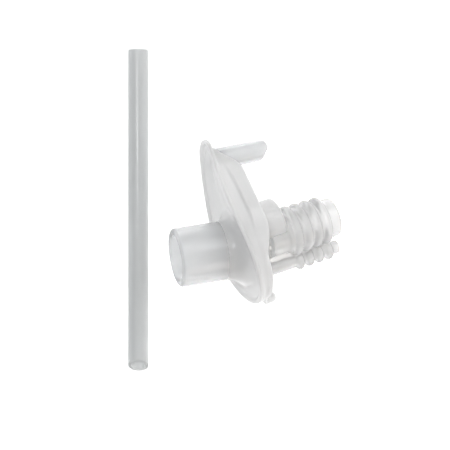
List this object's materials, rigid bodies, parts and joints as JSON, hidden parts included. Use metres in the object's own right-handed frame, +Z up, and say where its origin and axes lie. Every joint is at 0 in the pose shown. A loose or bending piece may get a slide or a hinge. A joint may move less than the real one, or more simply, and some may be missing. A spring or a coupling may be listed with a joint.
{
  "type": "nasal aspirator",
  "caption": "Translucent suction head with a leaf-shaped flange, a nozzle socket, ribbed hose spigots and a vent prong, beside a loose straight suction tube.",
  "frame": {"origin": "on the floor under the middle of the whole row's box", "axes": "+Z up from the floor that both pieces lie on, +Y along the suction tube towards its square end, +X from the tube towards the hose spigots"},
  "size_m": [0.0661, 0.1006, 0.0318],
  "materials": {
    "milky_silicone": "satin, translucent milky",
    "clear_plastic": "clear, faintly blue-grey, glossy",
    "frosted_plastic": "frosted, translucent",
    "seal_rubber": "matt silicone",
    "filter_felt": "soft felt",
    "white_plastic": "satin"
  },
  "bodies": {
    "head": {"flange": "milky_silicone", "hose_spigots": "clear_plastic", "filter_pad": "filter_felt", "filter_grid": "white_plastic", "spigot_seal": "seal_rubber"},
    "nozzle": {"nozzle_socket": "clear_plastic", "socket_seal": "seal_rubber"},
    "prong": {"vent_prong": "clear_plastic"},
    "tube": {"suction_tube": "frosted_plastic"}
  },
  "joints": [
    {"name": "nozzle_pull", "type": "slide", "parent": "head", "child": "nozzle", "axis": [-0.9528, -0.1505, 0.2635], "range_m": [0, 0.009]},
    {"name": "prong_pull", "type": "slide", "parent": "head", "child": "prong", "axis": [0.9306, 0.2105, -0.2994], "range_m": [0, 0.006]},
    {"name": "tube_slide", "type": "slide", "parent": "head", "child": "tube", "axis": [-1, 0, 0], "range_m": [0, 0.06]}
  ]
}
